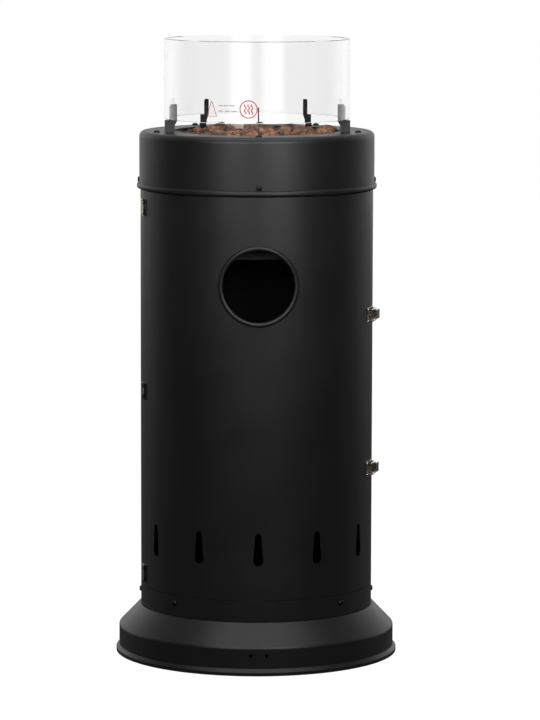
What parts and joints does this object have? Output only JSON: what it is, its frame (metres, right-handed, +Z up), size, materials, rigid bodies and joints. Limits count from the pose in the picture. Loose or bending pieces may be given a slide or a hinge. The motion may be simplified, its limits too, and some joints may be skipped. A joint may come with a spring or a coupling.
{
  "type": "outdoor heater",
  "caption": "Free-standing round gas patio heater: black steel cabinet with a hinged door and porthole, flared base, lava rock burner and a glass wind guard.",
  "frame": {"origin": "on the floor under the middle of the cabinet, at the centre of the base lip", "axes": "+Z up, -Y towards the front of the door and its porthole, +X to the right seen from the front"},
  "size_m": [0.505, 0.505, 1.1],
  "materials": {
    "black_coat": "satin textured powder coat",
    "black_screws": "black oxide",
    "clip_steel": "matte black coat with bare cut edges",
    "nickel": "dull nickel plate",
    "door_leaf_black": "satin powder coat",
    "bright_rivets": "bright domed heads",
    "spring_wire": "plated wire",
    "pan_steel": "heat resistant black",
    "stainless": "heat tinted",
    "brass": "machined",
    "valve_alloy": "die cast",
    "ceramic": "glazed white",
    "lead_sheath": "high temperature sheath",
    "knob_plastic": "moulded black",
    "glass": "clear toughened, ground edges",
    "lava": "rough porous"
  },
  "bodies": {
    "cabinet": {"base_floor": "black_coat", "base_skirt": "black_coat", "body_shell": "black_coat", "burner_pan": "pan_steel", "burner_ring": "stainless", "cap_screws": "black_screws", "collar_screws": "black_screws", "control_panel": "pan_steel", "deck_screws": "black_screws", "electrode_insulator": "ceramic", "gas_jet": "brass", "gas_pipe": "valve_alloy", "gas_valve": "valve_alloy", "glass_clip_1": "clip_steel", "glass_clip_2": "clip_steel", "glass_clip_3": "clip_steel", "glass_clip_4": "clip_steel", "glass_clip_5": "clip_steel", "heat_shield": "pan_steel", "hinge_pins": "nickel", "hinge_rivets": "bright_rivets", "hinge_side_jamb": "black_coat", "hose_nozzle": "brass", "igniter_housing": "knob_plastic", "latch_base_rivets": "bright_rivets", "latch_pins": "nickel", "latch_side_jamb": "black_coat", "lava_rocks": "lava", "low_hinge_frame_leaf": "nickel", "lower_latch_base": "nickel", "middle_hinge_frame_leaf": "nickel", "pilot_bracket": "stainless", "pilot_burner": "stainless", "pilot_hood": "stainless", "pilot_pipe": "valve_alloy", "rock_grate": "pan_steel", "spark_electrode": "stainless", "spark_lead": "lead_sheath", "thermocouple": "stainless", "thermocouple_lead": "lead_sheath", "top_cap": "black_coat", "top_hinge_frame_leaf": "nickel", "upper_latch_base": "nickel", "venturi_tube": "stainless"},
    "door": {"front_door": "black_coat", "porthole_ring": "black_coat", "top_hinge_door_leaf": "door_leaf_black", "middle_hinge_door_leaf": "door_leaf_black", "low_hinge_door_leaf": "door_leaf_black", "upper_latch_keeper": "nickel", "lower_latch_keeper": "nickel", "latch_keeper_rivets": "bright_rivets"},
    "upper_lever": {"upper_latch_lever": "nickel"},
    "lower_lever": {"lower_latch_lever": "nickel"},
    "upper_loop": {"upper_latch_loop": "spring_wire"},
    "lower_loop": {"lower_latch_loop": "spring_wire"},
    "stem": {"valve_stem": "valve_alloy"},
    "knob": {"control_knob": "knob_plastic"},
    "button": {"igniter_button": "knob_plastic"},
    "guard": {"glass_guard": "glass"}
  },
  "joints": [
    {"name": "door_hinge", "type": "hinge", "parent": "cabinet", "child": "door", "pos_m": [-0.20292, -0.05819, 0.4759], "axis": [0, 0, -1], "range_deg": [0, 115]},
    {"name": "upper_latch", "type": "hinge", "parent": "cabinet", "child": "upper_lever", "pos_m": [0.20598, -0.0497, 0.6129], "axis": [0, 0, -1], "range_deg": [0, 110]},
    {"name": "upper_loop_pivot", "type": "hinge", "parent": "upper_lever", "child": "upper_loop", "pos_m": [0.21158, -0.04506, 0.6129], "axis": [0, 0, -1], "range_deg": [-110, 0]},
    {"name": "lower_latch", "type": "hinge", "parent": "cabinet", "child": "lower_lever", "pos_m": [0.20598, -0.0497, 0.3373], "axis": [0, 0, -1], "range_deg": [0, 110]},
    {"name": "lower_loop_pivot", "type": "hinge", "parent": "lower_lever", "child": "lower_loop", "pos_m": [0.21158, -0.04506, 0.3373], "axis": [0, 0, -1], "range_deg": [-110, 0]},
    {"name": "knob_push", "type": "slide", "parent": "cabinet", "child": "stem", "axis": [0, 1, 0], "range_m": [0, 0.004], "stiffness_N_per_m": 1200, "springref_m": -0.002},
    {"name": "knob_turn", "type": "hinge", "parent": "stem", "child": "knob", "pos_m": [0, -0.16, 0.785], "axis": [0, -1, 0], "range_deg": [0, 210]},
    {"name": "igniter_push", "type": "slide", "parent": "cabinet", "child": "button", "axis": [0, 1, 0], "range_m": [0, 0.006], "stiffness_N_per_m": 800, "springref_m": -0.003},
    {"name": "glass_lift", "type": "slide", "parent": "cabinet", "child": "guard", "axis": [0, 0, 1], "range_m": [0, 0.16]}
  ],
  "couplings": [
    {"joint": "upper_loop_pivot", "follows": "upper_latch", "ratio": -1},
    {"joint": "lower_loop_pivot", "follows": "lower_latch", "ratio": -1}
  ]
}
